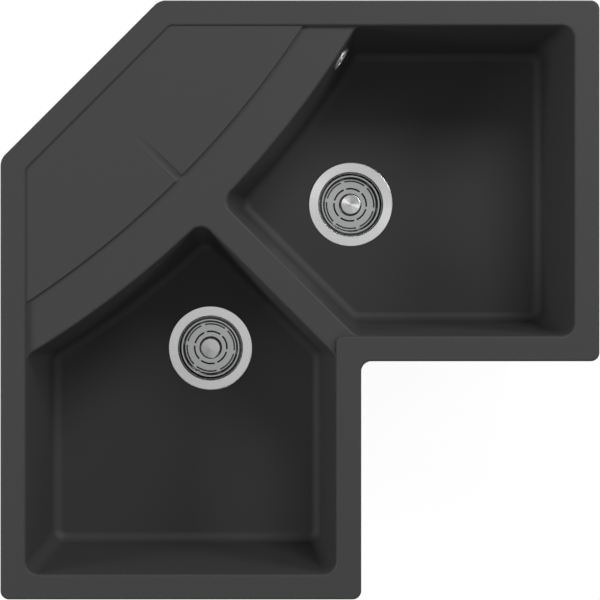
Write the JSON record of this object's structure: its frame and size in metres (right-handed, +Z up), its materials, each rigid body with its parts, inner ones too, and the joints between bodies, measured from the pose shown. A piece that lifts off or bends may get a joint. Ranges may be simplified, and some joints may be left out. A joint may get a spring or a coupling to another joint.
{
  "type": "corner kitchen sink",
  "caption": "L-shaped inset corner sink in dark composite: a bowl on each arm, a corner drainer behind a curved band, basket strainers, an overflow and clips.",
  "frame": {"origin": "centre of the 830 mm square that the sink fills, on the worktop's top surface", "axes": "+Z up out of the worktop, +Y and +X towards the square's upper and right edges as the picture shows them; the room's corner is at -X +Y and the person stands at +X -Y"},
  "size_m": [0.83, 0.83, 0.295],
  "materials": {
    "composite": "matt anthracite quartz composite with a fine grain",
    "stainless": "circular brushed stainless steel",
    "zinc_steel": "zinc plated steel",
    "brass": "turned brass",
    "rubber": "moulded rubber",
    "foam": "closed-cell foam strip",
    "dark_plastic": "moulded polypropylene",
    "hose_plastic": "corrugated plastic hose",
    "pale_plastic": "moulded nylon"
  },
  "bodies": {
    "sink": {"sink_body": "composite", "rim_seal": "foam", "overflow_cover": "stainless", "overflow_screw": "stainless", "overflow_seal": "rubber", "overflow_head": "dark_plastic", "overflow_nut": "dark_plastic", "overflow_hose": "hose_plastic", "port_nut": "dark_plastic", "fixing_dowels": "pale_plastic", "fixing_screws": "zinc_steel", "left_strainer_cup": "stainless", "left_cup_seal": "rubber", "left_outlet_seal": "rubber", "left_waste_body": "dark_plastic", "left_waste_screw": "stainless", "left_waste_nut": "brass", "right_strainer_cup": "stainless", "right_cup_seal": "rubber", "right_outlet_seal": "rubber", "right_waste_body": "dark_plastic", "right_waste_screw": "stainless", "right_waste_nut": "brass"},
    "left_strainer": {"left_basket": "stainless", "left_basket_knob": "stainless", "left_basket_stopper": "rubber", "left_basket_catch": "stainless"},
    "right_strainer": {"right_basket": "stainless", "right_basket_knob": "stainless", "right_basket_stopper": "rubber", "right_basket_catch": "stainless"},
    "clip_1": {"fixing_clip_1": "zinc_steel"},
    "clip_2": {"fixing_clip_2": "zinc_steel"},
    "clip_3": {"fixing_clip_3": "zinc_steel"},
    "clip_4": {"fixing_clip_4": "zinc_steel"},
    "clip_5": {"fixing_clip_5": "zinc_steel"},
    "clip_6": {"fixing_clip_6": "zinc_steel"},
    "clip_7": {"fixing_clip_7": "zinc_steel"},
    "clip_8": {"fixing_clip_8": "zinc_steel"}
  },
  "joints": [
    {"name": "left_basket_lift", "type": "slide", "parent": "sink", "child": "left_strainer", "axis": [0, 0, 1], "range_m": [0, 0.24]},
    {"name": "right_basket_lift", "type": "slide", "parent": "sink", "child": "right_strainer", "axis": [0, 0, 1], "range_m": [0, 0.24]},
    {"name": "clip_1_swing", "type": "hinge", "parent": "sink", "child": "clip_1", "pos_m": [-0.06, 0.3945, -0.036], "axis": [0, 0, 1], "range_deg": [-90, 90]},
    {"name": "clip_2_swing", "type": "hinge", "parent": "sink", "child": "clip_2", "pos_m": [0.25, 0.3945, -0.036], "axis": [0, 0, 1], "range_deg": [-90, 90]},
    {"name": "clip_3_swing", "type": "hinge", "parent": "sink", "child": "clip_3", "pos_m": [0.3945, 0.165, -0.036], "axis": [0, 0, 1], "range_deg": [-90, 90]},
    {"name": "clip_4_swing", "type": "hinge", "parent": "sink", "child": "clip_4", "pos_m": [0.25, -0.0645, -0.036], "axis": [0, 0, 1], "range_deg": [-90, 90]},
    {"name": "clip_5_swing", "type": "hinge", "parent": "sink", "child": "clip_5", "pos_m": [-0.3945, 0.06, -0.036], "axis": [0, 0, 1], "range_deg": [-90, 90]},
    {"name": "clip_6_swing", "type": "hinge", "parent": "sink", "child": "clip_6", "pos_m": [-0.3945, -0.25, -0.036], "axis": [0, 0, 1], "range_deg": [-90, 90]},
    {"name": "clip_7_swing", "type": "hinge", "parent": "sink", "child": "clip_7", "pos_m": [-0.165, -0.3945, -0.036], "axis": [0, 0, 1], "range_deg": [-90, 90]},
    {"name": "clip_8_swing", "type": "hinge", "parent": "sink", "child": "clip_8", "pos_m": [0.0645, -0.25, -0.036], "axis": [0, 0, 1], "range_deg": [-90, 90]}
  ]
}
